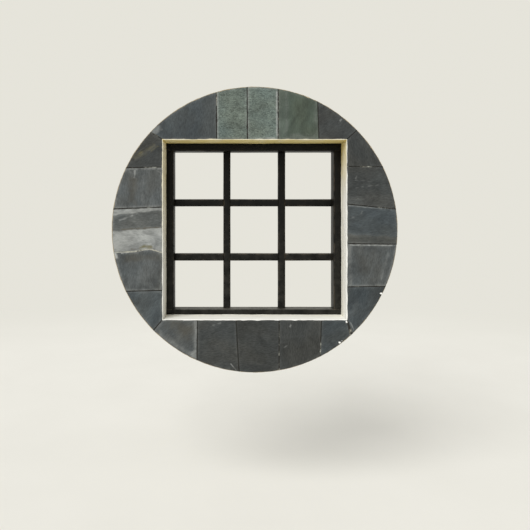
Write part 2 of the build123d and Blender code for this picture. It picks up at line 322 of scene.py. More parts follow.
def shade(bm, sharp_from):
    """Smooth shading, with the edges that turn more than this many degrees kept sharp."""
    limit = math.radians(sharp_from)
    for face in bm.faces:
        face.smooth = True
    for edge in bm.edges:
        edge.smooth = edge.calc_face_angle(0.0) < limit


def make_piece(name, bm, finish, *stands_for):
    """Turns a bmesh into a piece that rides on the window and stands for these CAD nodes."""
    mesh = mesh_from(bm, name)
    mesh.materials.append(finish)
    piece = new_object(name, mesh)
    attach(piece, "root")
    if stands_for:
        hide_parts(*stands_for)
    mesh.calc_loop_triangles()
    print(name, len(mesh.loop_triangles), "triangles")
    return piece


def smoothstep(low, high, value):
    """A soft step from 0 to 1 while the value goes from low to high."""
    share = min(1.0, max(0.0, (value - low) / (high - low)))
    return share * share * (3 - 2 * share)


def wave(point, *size):
    """Soft noise from about -1 to 1, whose hills have this size, or are this long, deep and wide."""
    along, through, across = size * 3 if len(size) == 1 else size
    return 1.6 * noise.noise(Vector((point.x / along, point.y / through, point.z / across)))


def hills(point, *size):
    """The same noise, from about 0 to 1."""
    return 0.5 + 0.5 * wave(point, *size)


# %% [markdown]
# ## The slates
#
# Slate is split, not sawn, so its face runs in thin layers that end in low curved steps, and each
# stone has a grain of its own. Where it was cut to shape, the rim is nibbled. The relief is real
# geometry here, about a millimetre deep: that is how light from the side finds it.
#
# Each slate keeps its own grain in a vector attribute, measured along the grain, through the stone and
# across it. A finish that reads it runs the right way on every stone.
#
# A row of the table gives the stone, how light it is, the turn of its grain in degrees, how strong its
# layers, ripples and lime bloom are, and the colour and strength of a face that has flaked.

# %% What makes each slate its own
Look = namedtuple("Look", "stone tone grain layers ripple bloom flake flaked", defaults=("pale", 0.0))
SLATE_LOOKS = {
    "top_1": ("blue", 1.00, 78, 0.3, 0.2, 0.10),
    "top_2": ("green", 0.98, 4, 0.4, 1.0, 0.22),
    "top_3": ("green", 1.03, -6, 0.3, 0.9, 0.35),
    "top_4": ("olive", 0.95, 86, 0.1, 0.1, 0.12, "pale", 0.05),
    "top_5": ("charcoal", 1.04, 35, 0.3, 0.3, 0.05),
    "right_1": ("charcoal", 1.00, 100, 0.3, 0.4, 0.05),
    "right_2": ("charcoal", 1.12, 6, 0.7, 0.5, 0.08, "pale", 0.02),
    "right_3": ("blue", 1.05, 4, 0.4, 0.4, 0.12, "brown", 0.30),
    "right_4": ("grey", 0.88, 80, 0.2, 0.2, 0.30, "pale", 0.05),
    "right_5": ("blue", 0.91, 60, 0.2, 0.2, 0.08),
    "bottom_1": ("grey", 0.92, 40, 0.4, 0.4, 0.14, "pale", 0.24),
    "bottom_2": ("charcoal", 1.12, 10, 0.5, 0.6, 0.08),
    "bottom_3": ("charcoal", 0.91, 3, 0.5, 0.7, 0.04),
    "bottom_4": ("charcoal", 0.91, 84, 0.4, 0.5, 0.06),
    "bottom_5": ("blue", 0.85, 30, 0.2, 0.2, 0.08),
    "left_1": ("charcoal", 0.90, 29, 0.7, 0.4, 0.06, "brown", 0.12),
    "left_2": ("grey", 1.02, 86, 0.4, 0.4, 0.30),
    "left_3": ("grey", 1.08, 5, 0.6, 0.3, 0.20, "pale", 0.62),
    "left_4": ("grey", 0.96, 82, 0.3, 0.3, 0.30),
    "left_5": ("blue", 1.20, 55, 0.3, 0.3, 0.16),
}

# %% [markdown]
# Some stones carry marks that no noise would put there: a rusty vein, a scratch, the pale bloom of an old
# layer, and on left_3 a dark line of painted shadow along a flake step. Each is a soft-edged patch, whose
# row gives its place, its turn in degrees anticlockwise, its half sizes, how soft its edge is, how far the
# edge wanders, how strong it is, and its colour if it isn't pale. Lengths are in millimetres.

# %% Veins, scratches, blooms and a painted shadow
WANDER_CELL = 0.02
Mark = namedtuple("Mark", "x z turn half_length half_width soft wander strength layer", defaults=("pale",))
SLATE_MARKS = {
    "top_1": ((-495, 492, 35, 30, 12, 10, 8, 0.30),),
    "top_2": ((-184, 570, 90, 118, 3, 2, 2, 0.34),),
    "top_3": (
        (111, 575, 90, 112, 3.5, 2.5, 2, 0.56), (78, 456, 3, 24, 3, 3, 2, 0.35),
        (-36, 585, 88, 90, 2, 3, 3, 0.10)),
    "top_4": ((322, 545, 91, 85, 3, 3, 2, 0.12), (225, 458, 1, 90, 4, 4, 3, 0.10)),
    "top_5": ((429, 546, 45, 7, 4, 3, 2, 0.35),),
    "right_2": (
        (560, 216, 8, 60, 1.5, 2, 5, 0.10), (540, 243, -5, 40, 1.2, 2, 4, 0.08),
        (505, 262, 70, 9, 2, 3, 3, 0.15)),
    "right_3": (
        (548, 113, -5.8, 85, 2.5, 2, 2, 0.22), (490, 61, 0, 6, 4, 4, 2, 0.20),
        (532, 85, 70, 10, 4, 4, 3, 0.22)),
    "right_4": (
        (560, -180, 0, 45, 45, 45, 12, 0.16, "brown"), (578, -77, -0.5, 108, 2, 1.6, 2, 0.55),
        (648, -183, 75, 70, 3, 8, 6, 0.14)),
    "right_5": ((492, -400, 60, 35, 10, 18, 8, 0.06), (485, -480, -66, 22, 1.8, 1.8, 2, 0.34)),
    "bottom_1": (
        (-303, -614, 50, 18, 9, 9, 5, 0.38), (-372, -482, -30, 60, 28, 30, 12, 0.40, "brown"),
        (-392, -573, -35, 105, 7, 14, 7, 0.18)),
    "bottom_2": ((-104, -685, -49, 24, 1.6, 1.6, 2, 0.60), (-190, -470, 20, 22, 2, 3, 4, 0.20)),
    "bottom_4": ((178, -478, 60, 6, 3, 3, 2, 0.40), (153, -582, 30, 11, 2, 3, 4, 0.20)),
    "left_1": (
        (-546, 389, 31, 62, 8, 9, 8, 0.36, "ochre"), (-574, 378, 33, 30, 3, 4, 5, 0.70, "ochre"),
        (-500, 404, 36, 22, 3, 5, 5, 0.75, "ochre"), (-560, 402, 33, 30, 2, 5, 4, 0.07)),
    "left_2": (
        (-598, 277, 85, 18, 3, 4, 4, 0.45), (-546, 303, 0, 82, 2, 2, 3, 0.30),
        (-480, 290, -25, 14, 2, 2, 3, 0.30), (-560, 200, 88, 70, 5, 12, 8, 0.10),
        (-606, 195, 85, 60, 14, 22, 10, 0.35, "brown")),
    # the first mark of left_3, a dark brown line along its flake step, is painted shadow
    "left_3": (
        (-565, 6, 3.5, 110, 2.5, 2, 3, 0.75, "brown"), (-542, -86, 4, 34, 7, 6, 5, 0.90, "ochre"),
        (-597, -97, 4, 20, 3, 2.5, 2, 0.50, "brown"), (-640, 58, 21, 34, 2, 3, 4, 0.34),
        (-575, 103, 1, 120, 3, 2, 2, 0.45), (-590, -65, 3, 80, 18, 22, 10, 0.45)),
    "left_4": (
        (-550, -205, 80, 60, 22, 40, 12, 0.08), (-692, -127, 105, 14, 6, 6, 4, 0.85),
        (-595, -108, 8, 70, 1.6, 1.6, 2, 0.70), (-490, -105, -13, 32, 1.6, 1.6, 2, 0.65),
        (-560, -140, 3, 90, 14, 22, 10, 0.35, "brown")),
}


def mark_amount(mark, point):
    """How strongly a mark shows at a point."""
    turn = math.radians(mark.turn)
    side = (point.x / MM - mark.x, point.z / MM - mark.z)
    along = side[0] * math.cos(turn) + side[1] * math.sin(turn)
    across = side[1] * math.cos(turn) - side[0] * math.sin(turn)
    outside = max(abs(along) - mark.half_length, abs(across) - mark.half_width)
    outside += mark.wander * wave(point, WANDER_CELL)
    return mark.strength * (1 - smoothstep(-mark.soft, mark.soft, outside))


# %% [markdown]
# The depth of the split face adds four things: a slow swell, a slight tilt, terraces that step down one
# thin layer at a time, and fine ripples along the grain. The rim is nibbled inwards and its arris
# chipped. To find the rim's distance and the way inwards at any point, the points of the sides go into
# a search tree.

# %% Shape one slate
SLATE_PITCH = 2.5 * MM
SIDE_PITCH = 3 * MM
SLATE_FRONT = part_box("slate_top_3")[0].y
SLATE_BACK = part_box("slate_top_3")[1].y
LAYER_DROP = 1 * MM
SWELL = 0.5 * MM
TERRACES = 6
TERRACES_DEPTH = 0.81 * MM
TERRACE_EDGE = (0.42, 0.58)
RIPPLE = 0.35 * MM
TILT = math.radians(0.25)
NIBBLE = 0.9 * MM
CHIP_REACH = 5 * MM
CHIP_DEPTH = 1.6 * MM
CHIP_WIDTH = 1.5 * MM
CHIPS_ABOVE = 0.35
BLOOM_REACH = 16 * MM
DAMP_ROUNDS = 16
# sizes of the hills: along the grain, through the stone and across it
SWELL_CELL = (0.2, 0.2, 0.12)
TERRACE_CELL = (0.22, 0.2, 0.07)
RIPPLE_CELL = (0.034, 0.05, 0.009)
TILT_CELL = (0.7, 1, 1)
NIBBLE_CELL = 0.03
CHIP_CELL = 0.016
# how far apart two slates take their grain from the noise
NEXT_ALONG = 1.7
NEXT_ACROSS = 0.9
PAINTED = ("tone", "pale", "brown", "ochre", "pale_flake", "brown_flake", "relief", "rim", "bloom")


def grain_point(point, grain, number):
    """A point in a slate's own grain, shifted so that no two slates share a pattern."""
    turn = math.radians(grain)
    along = point.x * math.cos(turn) + point.z * math.sin(turn)
    across = point.z * math.cos(turn) - point.x * math.sin(turn)
    return Vector((along + NEXT_ALONG * number, point.y, across + NEXT_ACROSS * number))


def split_relief(grained, look):
    """Depth of the split face below its highest layer, from 0 to about 1."""
    level = TERRACES * hills(grained, *TERRACE_CELL)
    whole = math.floor(level)
    return look.layers * ((whole + smoothstep(*TERRACE_EDGE, level - whole)) / TERRACES)


def is_side(face):
    """Whether a face looks sideways."""
    return abs(face.normal.y) < 0.3


def rim_search(bm):
    """A tree of the sides' points, seen from the front, and the way inwards at each of them."""
    rim, inwards = [], []
    for vert in bm.verts:
        sides = [face.normal for face in vert.link_faces if is_side(face)]
        if sides:
            way = -sum(sides, Vector())
            way.y = 0
            rim.append(vert.co.copy())
            inwards.append(way.normalized())
    tree = kdtree.KDTree(len(rim))
    for number, place in enumerate(rim):
        tree.insert((place.x, 0, place.z), number)
    tree.balance()
    return tree, inwards


def net_of(node):
    """A slate's mesh in small cells, with its hidden back kept as one face."""
    bm = merged_copy(node)
    back = [face for face in bm.faces if face.normal.y > 0.99]
    bmesh.ops.delete(bm, geom=back, context="FACES_ONLY")
    for axis, pitch in ((2, SLATE_PITCH), (0, SLATE_PITCH), (1, SIDE_PITCH)):
        slice_along(bm, axis, pitch)
    edges = [edge for edge in bm.edges if edge.is_boundary]
    bmesh.ops.holes_fill(bm, edges=edges, sides=0)
    bm.normal_update()
    return bm


def shape_slate(node, look, marks, number):
    """A riven slate with its grain, its marks and its chipped rim."""
    bm = net_of(node)
    tree, inwards = rim_search(bm)
    layers = bm.verts.layers
    grain = layers.float_vector.new("grain")
    painted = {layer: layers.float.new(layer) for layer in PAINTED}
    low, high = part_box(node)
    middle = (low + high) / 2
    lean_x = TILT * wave(Vector((number, 0.3, 0.1)), *TILT_CELL)
    lean_z = TILT * wave(Vector((number, 0.7, 0.9)), *TILT_CELL)
    for vert in bm.verts:
        start = vert.co.copy()
        grained = grain_point(start, look.grain, number)
        _, nearest, distance = tree.find((start.x, 0, start.z))
        relief = split_relief(grained, look)
        chip = max(0.0, wave(start, CHIP_CELL) - CHIPS_ABOVE)
        near_rim = 1 - smoothstep(0, CHIP_REACH, distance)
        forward = 1 - smoothstep(SLATE_FRONT + 2 * MM, SLATE_BACK, start.y)
        depth = TERRACES_DEPTH * relief + RIPPLE * look.ripple * hills(grained, *RIPPLE_CELL)
        depth += SWELL * hills(grained, *SWELL_CELL)
        depth += (start.x - middle.x) * lean_x + (start.z - middle.z) * lean_z
        depth += CHIP_DEPTH * chip * near_rim
        vert.co.y += forward * depth
        nibble = NIBBLE * hills(start, NIBBLE_CELL) + CHIP_WIDTH * chip * forward
        vert.co += inwards[nearest] * near_rim * nibble
        flaked = abs(start.y - SLATE_FRONT - LAYER_DROP) < 0.3 * LAYER_DROP
        vert[grain] = grained
        vert[painted["tone"]] = look.tone
        vert[painted["relief"]] = relief
        vert[painted["rim"]] = near_rim * forward * (0.3 + chip)
        vert[painted["bloom"]] = look.bloom * (1 - smoothstep(0, BLOOM_REACH, distance))
        vert[painted[look.flake + "_flake"]] = look.flaked * flaked
        for mark in marks:
            layer = painted[mark.layer]
            vert[layer] = max(vert[layer], mark_amount(mark, start))
    shade(bm, 35)
    return bm


def soften(mesh, names, rounds):
    """Lets values at the vertices run into their neighbours, as damp does."""
    count = len(mesh.vertices)
    ends = np.empty(2 * len(mesh.edges), dtype=np.int32)
    mesh.edges.foreach_get("vertices", ends)
    neighbours = np.bincount(ends, minlength=count)
    first, second = ends.reshape(-1, 2).T
    for name in names:
        values = np.empty(count, dtype=np.float32)
        mesh.attributes[name].data.foreach_get("value", values)
        for _ in range(rounds):
            around = np.bincount(first, values[second], count)
            around += np.bincount(second, values[first], count)
            values = 0.5 * values + 0.5 * around / neighbours
        mesh.attributes[name].data.foreach_set("value", values.astype(np.float32))


# %% [markdown]
# The stone's colour drifts in clouds and streaks along the grain, with finer flecks on top, and the
# layers below a step are a shade darker. Where a layer has flaked off, the new face is paler or rusty,
# with a soft edge where damp has crept in. Lime from the joints leaves a bloom along the rim, and a
# chipped arris shows fresh stone. The roughness varies with the flecks, and grit too fine for the mesh
# is left to a bump.

# %% Slate finishes
FLECK_CELL = (0.018, 0.020, 0.0045)
FLECK_CURL = 0.4
Stone = namedtuple("Stone", "colour flecks streaks fleck_cell curl", defaults=(FLECK_CELL, FLECK_CURL))
STONES = {
    "charcoal": Stone((0.0375, 0.0400, 0.0380), 0.24, 0.07),
    "blue": Stone((0.0445, 0.0525, 0.0550), 0.22, 0.09),
    "green": Stone((0.1010, 0.1260, 0.1090), 0.50, 0.05, (0.015, 0.020, 0.0058), 1.5),
    "olive": Stone((0.0600, 0.0770, 0.0580), 0.12, 0.08),
    "grey": Stone((0.0690, 0.0750, 0.0740), 0.22, 0.14),
}
PALE_STONE = (0.42, 0.43, 0.41, 1.0)
BROWN_STAIN = (0.066, 0.055, 0.034, 1.0)
OCHRE_STAIN = (0.130, 0.118, 0.058, 1.0)
FRESH_CUT = (0.17, 0.17, 0.155, 1.0)
LIME_BLOOM = (0.33, 0.335, 0.315, 1.0)


def slate_finish(name, stone):
    """Split stone that takes its grain, tone and marks from each slate's mesh."""
    finish, tree, shader = new_finish("slate_" + name, 0.62, Specular_IOR_Level=0.22)
    grain = painted_on(tree, "grain", "Vector")
    clouds = cloud(tree, grain, (0.11, 0.10, 0.09), 4.0, 0.6, 0.9)
    tint = cloud(tree, grain, (0.20, 0.15, 0.12), 2.0, 0.5)
    streaks = cloud(tree, grain, (0.15, 0.05, 0.022), 3.0, 0.55, 0.8)
    flecks = cloud(tree, grain, stone.fleck_cell, 4.0, 0.62, stone.curl)
    grit = cloud(tree, grain, (0.0022, 0.0022, 0.0016), 2.0, 0.6)
    cold = scaled(stone.colour, 0.965, 1.0, 1.04)
    warm = scaled(stone.colour, 1.035, 1.0, 0.96)
    colour = mix(tree, ramp(tree, tint, 0.3, 0.7), cold, warm)
    lightness = product(
        tree, painted_on(tree, "tone"),
        ramp(tree, clouds, 0.25, 0.75, 0.76, 1.26),
        ramp(tree, streaks, 0.25, 0.75, 1 - stone.streaks, 1 + stone.streaks),
        ramp(tree, flecks, 0.3, 0.7, 1 - stone.flecks, 1 + stone.flecks),
        ramp(tree, grit, 0.3, 0.7, 0.90, 1.10),
        ramp(tree, painted_on(tree, "relief"), 0.0, 1.0, 1.10, 0.84))
    colour = shaded(tree, colour, lightness)
    broken = ramp(tree, flecks, 0.25, 0.75, 0.76, 1.12)
    patchy = ramp(tree, clouds, 0.25, 0.75, 0.48, 1.42)
    for layer, tone in (("pale", PALE_STONE), ("brown", BROWN_STAIN)):
        flaked = product(tree, painted_on(tree, layer + "_flake"), patchy)
        amount = math_node(tree, "MAXIMUM", painted_on(tree, layer), flaked)
        colour = mix(tree, product(tree, amount, broken), colour, tone)
    colour = mix(tree, product(tree, painted_on(tree, "ochre"), broken), colour, OCHRE_STAIN)
    drifts = ramp(tree, clouds, 0.35, 0.6, 0.25, 1.0)
    bloomed = product(tree, painted_on(tree, "bloom"), drifts, broken)
    colour = mix(tree, bloomed, colour, LIME_BLOOM)
    chipped = ramp(tree, painted_on(tree, "rim"), 0.3, 1.0, 0.0, 0.7)
    colour = mix(tree, chipped, colour, FRESH_CUT)
    tree.links.new(colour, shader.inputs["Base Color"])
    tree.links.new(ramp(tree, flecks, 0.2, 0.8, 0.72, 0.52), shader.inputs["Roughness"])
    bump(tree, shader, (flecks, 0.6 * MM), (grit, 0.14 * MM))
    return finish


slate_finishes = {name: slate_finish(name, stone) for name, stone in STONES.items()}
for number, (name, row) in enumerate(SLATE_LOOKS.items()):
    node, look = "slate_" + name, Look(*row)
    marks = [Mark(*mark) for mark in SLATE_MARKS.get(name, ())]
    bm = shape_slate(node, look, marks, number)
    piece = make_piece(node + "_riven", bm, slate_finishes[look.stone], node)
    soften(piece.data, ("pale_flake", "brown_flake"), DAMP_ROUNDS)

# %% [markdown]
# ## Mortar: the bed and the pointing
#
# The bed shows as a thin ochre line round the ring, and the pointing as a strip in every joint, a little
# below the slates. The pointing is dark, and pale where it is fresh or scraped. How pale differs from joint
# to joint, so each joint gets a share, which the finish reads from the mesh.

# %% Choose how pale each joint is
CLOCKWISE = (("top", "12345"), ("right", "12345"), ("bottom", "54321"), ("left", "54321"))
RING = [f"slate_{side}_{number}" for side, numbers in CLOCKWISE for number in numbers]
# for the joint that follows each slate, clockwise
JOINT_PALENESS = dict(zip(RING, (
    0.26, 0.16, 0.30, 0.25, 0.20,
    0.40, 0.30, 0.34, 0.20, 0.46,
    0.38, 0.34, 0.10, 0.10, 0.15,
    0.15, 0.62, 0.35, 0.38, 0.35)))


def joint_middle(first, second):
    """The middle of where the boxes of two neighbours overlap, which is on their joint."""
    (low_one, high_one), (low_two, high_two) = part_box(first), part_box(second)
    low = Vector(map(max, low_one, low_two))
    high = Vector(map(min, high_one, high_two))
    return (low + high) / 2


# more places, in millimetres, where a joint is paler or darker than in its middle
JOINT_CHANGES = ((-190, 660, 0.45), (-190, 480, 0.18), (466, -466, 0.12), (330, -490, 0.15),
                 (325, -590, 0.45), (-550, -88, 0.75), (-655, -115, 0.80))
POINTED = [(joint_middle(first, RING[(place + 1) % len(RING)]), JOINT_PALENESS[first])
           for place, first in enumerate(RING)]
POINTED += [(Vector((x * MM, SLATE_FRONT, z * MM)), paleness) for x, z, paleness in JOINT_CHANGES]
print("places of set paleness:", len(POINTED))

# %% [markdown]
# The mesh is sliced finely in the joints, where it shows up close, and coarsely in the bed. A coarse
# cell beside a fine one then has many points on one side, so such cells are cut into triangles.
# The pointing is pushed sideways under the slates' nibbled edges, so that no slit opens beside it,
# and the rim swells out unevenly, as mortar does when a slate is pressed into it.

# %% Shape the mortar
BED_FRONT = SLATE_BACK
BED_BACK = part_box("mortar_bed")[1].y
BED_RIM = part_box("mortar_bed")[1].z - 2 * MM
POINTING_BACK = BED_FRONT - 2 * MM
POINTING_PITCH = 3 * MM
BED_PITCH = 12 * MM
POINTING_SPREAD = 1.6 * MM
POINTING_SINK = 1.1 * MM
RIM_SWELL = 1.4 * MM
BACK_PITS = 1.8 * MM
FINE_CELL = 0.009
BROAD_CELL = 0.035


def outwards(vert):
    """The way out of the sides that meet at a point, or nothing away from them."""
    way = sum((face.normal for face in vert.link_faces if is_side(face)), Vector())
    way.y = 0
    return way.normalized() if way.length > 0.1 else Vector()


def shape_mortar():
    """The bed with its swollen rim and pitted back, and the pointing in the joints."""
    bm = merged_copy("mortar_bed")
    pointing = [face for face in bm.faces if face.calc_center_median().y < POINTING_BACK]
    bed = [face for face in bm.faces if face.calc_center_median().y > POINTING_BACK]
    for axis in (0, 2):
        pointing = slice_along(bm, axis, POINTING_PITCH, pointing)
    for axis in (0, 2):
        bed = slice_along(bm, axis, BED_PITCH, bed)
    crowded = [face for face in bm.faces if len(face.verts) > 4]
    bmesh.ops.triangulate(bm, faces=crowded, quad_method="BEAUTY", ngon_method="BEAUTY")
    bmesh.ops.dissolve_degenerate(bm, dist=MERGE_DISTANCE, edges=bm.edges)
    bm.normal_update()
    pale = bm.verts.layers.float.new("pale")
    ochre = bm.verts.layers.float.new("ochre")
    ways = [outwards(vert) for vert in bm.verts]
    for vert, way in zip(bm.verts, ways):
        start = vert.co.copy()
        fine = hills(start, FINE_CELL)
        broad = hills(start, BROAD_CELL)
        if start.y < POINTING_BACK:
            _, paleness = min(POINTED, key=lambda joint: (joint[0] - start).length)
            vert[pale] = paleness
            vert[ochre] = 0.2
            vert.co += way * POINTING_SPREAD * (0.5 + broad)
            vert.co.y += POINTING_SINK * fine * (1.2 - paleness)
        else:
            vert[pale] = 1.0
            vert[ochre] = 0.8
            if math.hypot(start.x, start.z) > BED_RIM:
                vert.co += way * RIM_SWELL * (broad + 0.5 * fine - 0.6)
                vert.co.y -= (start.y < BED_FRONT + MM) * RIM_SWELL * fine
            if start.y > BED_BACK - MM:
                vert.co.y -= BACK_PITS * broad * fine
    shade(bm, 40)
    return bm


# %% Mortar finish
DARK_POINTING = (0.030, 0.029, 0.025, 1.0)
CREAM_MORTAR = (0.41, 0.415, 0.365, 1.0)
OCHRE_MORTAR = (0.46, 0.37, 0.23, 1.0)


def mortar_finish():
    """Sandy mortar, dark where the mesh isn't painted pale."""
    finish, tree, shader = new_finish("lime_mortar", 0.9, Specular_IOR_Level=0.2)
    space = object_space(tree)
    patches = cloud(tree, space, 0.03, 3.0, 0.6)
    sand = cloud(tree, space, 0.0016, 2.0, 0.7)
    clods = cloud(tree, space, 0.016, 4.0, 0.6)
    tint = cloud(tree, space, 0.11, 2.0)
    warm = ramp(tree, math_node(tree, "ADD", tint, painted_on(tree, "ochre")), 0.6, 1.3)
    fresh = mix(tree, warm, CREAM_MORTAR, OCHRE_MORTAR)
    pale = product(tree, painted_on(tree, "pale"), 0.8)
    cover = ramp(tree, math_node(tree, "ADD", patches, pale), 0.78, 1.06)
    colour = mix(tree, cover, DARK_POINTING, fresh)
    sandy = ramp(tree, sand, 0.3, 0.7, 0.8, 1.12)
    grains = product(tree, sandy, ramp(tree, clods, 0.3, 0.7, 0.78, 1.12))
    tree.links.new(shaded(tree, colour, grains), shader.inputs["Base Color"])
    bump(tree, shader, (clods, 1.5 * MM), (sand, 0.5 * MM))
    return finish


make_piece("mortar_bed_pointed", shape_mortar(), mortar_finish(), "mortar_bed")

# %% [markdown]
# ## Plaster reveal
#
# Plaster laid by hand has slow waves from the trowel, and no straight edge. Its lip laps unevenly over
# the slates' nibbled rim, and where it meets the timber it runs over the frame's face in a ragged line.
# The front and the sill stay pale, while the soffit, the left reveal, the top of the right one and the
# depth of the opening take a film of ochre: dust, and on the soffit and the left reveal also painted shade.
# That film is worked out from the way each face looks and how deep it lies. The outer faces are left as
# coarse grey undercoat, which grips the opening.

# %% Shape the plaster
PLASTER_PITCH = 8 * MM
TROWEL_WAVE = 1.1 * MM
TROWEL_GRAIN = 0.25 * MM
LIP_OVERLAP = 3.2 * MM
LIP_PROUD = 1.4 * MM
FRAME_OVERLAP = 3.2 * MM
KEY_DEPTH = 1.6 * MM
SMEAR_REACH = 9.6 * MM
LIP_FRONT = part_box("plaster_reveal")[0].y
FRAME_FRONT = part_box("frame_head")[0].y
FRAME_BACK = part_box("frame_head")[1].y
OPENING_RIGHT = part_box("slate_right_3")[0].x
OPENING_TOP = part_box("slate_top_3")[0].z
TROWEL_CELL = (0.09, 0.05, 0.09)
GRAIN_CELL = 0.012
LIP_CELL = (0.045, 0.3, 0.045)
LIP_FINE_CELL = (0.018, 0.05, 0.018)
SMEAR_CELL = (0.13, 0.3, 0.13)
KEY_CELL = 0.02


def way_to_edge(point):
    """Outwards in the plane of the opening, across the nearest of its four sides."""
    from_right = OPENING_RIGHT - abs(point.x)
    from_top = OPENING_TOP - abs(point.z)
    across = Vector((math.copysign(1, point.x), 0, 0))
    upright = Vector((0, 0, math.copysign(1, point.z)))
    if abs(from_right - from_top) < 2 * MM:
        return across + upright
    return across if from_right < from_top else upright


def dust_and_shade_amount(point, outward, inside):
    """Ochre dust, with painted shade on the soffit and the left reveal: thicker in the depth, under the
    head, and high up on the left and right.
    """
    depth = smoothstep(LIP_FRONT, FRAME_FRONT, point.y)
    head, left, right = max(0.0, outward.z), max(0.0, -outward.x), max(0.0, outward.x)
    # the head and left terms are partly dust and partly painted shade on the soffit and the left reveal
    dust_and_shade = 0.03 + 0.15 * depth + (0.45 + 0.5 * inside) * head
    dust_and_shade += (0.06 + 0.44 * smoothstep(-0.25, 0.35, point.z)) * left
    return dust_and_shade + 0.78 * smoothstep(0.14, 0.42, point.z) * right * inside


def shape_plaster():
    """The lining of the opening, with its uneven lip and its ragged line on the timber."""
    bm = merged_copy("plaster_reveal")
    for axis in (1, 0, 2):
        slice_along(bm, axis, PLASTER_PITCH)
    bm.normal_update()
    dust_and_shade = bm.verts.layers.float.new("dust_and_shade")
    keyed = bm.verts.layers.float.new("keyed")
    normals = [vert.normal.copy() for vert in bm.verts]
    for vert, normal in zip(bm.verts, normals):
        start = vert.co.copy()
        outward = way_to_edge(start)
        edge = max(abs(start.x) - OPENING_RIGHT, abs(start.z) - OPENING_TOP)
        ragged = hills(start, *LIP_CELL)
        fine = hills(start, *LIP_FINE_CELL)
        inside = edge < -2.5 * MM and normal.dot(outward) < -0.3
        vert[dust_and_shade] = dust_and_shade_amount(start, outward, inside)
        vert[keyed] = float(edge > MM and start.y > SLATE_BACK and normal.dot(outward) > 0.3)
        in_rebate = FRAME_FRONT - MM < start.y < FRAME_BACK + MM
        if not in_rebate:
            trowel = TROWEL_WAVE * wave(start, *TROWEL_CELL)
            trowel += TROWEL_GRAIN * wave(start, GRAIN_CELL)
            vert.co += normal * trowel
        if vert[keyed]:
            vert.co -= outward * KEY_DEPTH * hills(start, KEY_CELL)
        if start.y < LIP_FRONT + 2.5 * MM:
            vert.co.y -= LIP_PROUD * ragged
            if edge > -MM:
                vert.co += outward * LIP_OVERLAP * ragged * fine
        if inside and abs(start.y - FRAME_FRONT) < SMEAR_REACH:
            reach = 1 - abs(start.y - FRAME_FRONT) / SMEAR_REACH
            smear = smoothstep(0.1, 1.0, hills(start, *SMEAR_CELL))
            vert.co -= outward * FRAME_OVERLAP * reach * (0.25 + 0.75 * smear) * (0.6 + 0.4 * fine)
    shade(bm, 50)
    return bm


# %% Plaster finish
WHITE_PLASTER = (0.85, 0.845, 0.80, 1.0)
OCHRE_DUST_AND_SHADE = (0.69, 0.57, 0.24, 1.0)
PLASTER_STAIN = (0.50, 0.47, 0.38, 1.0)
UNDERCOAT_DIM = (0.47, 0.44, 0.37, 1.0)
UNDERCOAT_LIGHT = (0.60, 0.57, 0.49, 1.0)


def plaster_finish():
    """Lime plaster with its film of dust and painted shade, a few stains, and undercoat where it is keyed.
    """
    finish, tree, shader = new_finish("lime_plaster", 0.85, Specular_IOR_Level=0.25)
    space = object_space(tree)
    blotches = cloud(tree, space, 0.07, 4.0, 0.6, 0.5)
    strokes = cloud(tree, space, (0.035, 0.02, 0.035), 3.0, 0.6)
    sand = cloud(tree, space, 0.0018, 2.0, 0.6)
    dust_and_shade = product(tree, painted_on(tree, "dust_and_shade"), ramp(tree, blotches, 0.2, 0.8, 0.7, 1.2))
    # the ochre mix is dust, and on the soffit and the left reveal also painted shade
    colour = mix(tree, dust_and_shade, WHITE_PLASTER, OCHRE_DUST_AND_SHADE)
    colour = mix(tree, ramp(tree, blotches, 0.60, 0.80, 0.0, 0.35), colour, PLASTER_STAIN)
    undercoat = mix(tree, ramp(tree, strokes, 0.3, 0.7), UNDERCOAT_DIM, UNDERCOAT_LIGHT)
    colour = mix(tree, painted_on(tree, "keyed"), colour, undercoat)
    tree.links.new(colour, shader.inputs["Base Color"])
    tree.links.new(ramp(tree, strokes, 0.2, 0.8, 0.75, 0.92), shader.inputs["Roughness"])
    bump(tree, shader, (strokes, 0.8 * MM), (sand, 0.25 * MM))
    return finish


make_piece("plaster_reveal_trowelled", shape_plaster(), plaster_finish(), "plaster_reveal")

# %% [markdown]
# ## Timber
#
# Paint is thick on the flats and thin on the arrises, where hands and weather wear it through to the
# wood. So every long arris is rounded with a bevel of two segments, and the line of points along its
# middle carries the wear: it can't spread onto the flats beside it. The bars are then sliced across
# and pushed about by a fraction of a millimetre, because planed and painted wood is never dead flat.

# %% Shape the timber
ARRIS = 1.2 * MM
ARRIS_TURN = math.radians(20)
SMALL_FACE = 1e-4
TIMBER_PITCH = 12 * MM
PLANE_WAVE = 0.4 * MM
PLANE_CELL = (0.16, 0.03, 0.03)
BARS = ("frame_head", "frame_sill", "frame_stile", "lattice")
TIMBER = [node for node in cad_nodes if node.startswith(BARS)]


def is_long_arris(edge):
    """Whether an edge is convex, between two faces of more than a square centimetre."""
    if len(edge.link_faces) != 2 or not edge.is_convex:
        return False
    if edge.calc_face_angle(0.0) <= ARRIS_TURN:
        return False
    return min(face.calc_area() for face in edge.link_faces) > SMALL_FACE


def round_off(bm, edges, radius):
    """Rounds edges with two segments, and gives the new faces."""
    return bmesh.ops.bevel(bm, geom=edges, offset=radius, offset_type="OFFSET", segments=2, profile=0.5,
                           affect="EDGES", clamp_overlap=True, material=-1)["faces"]


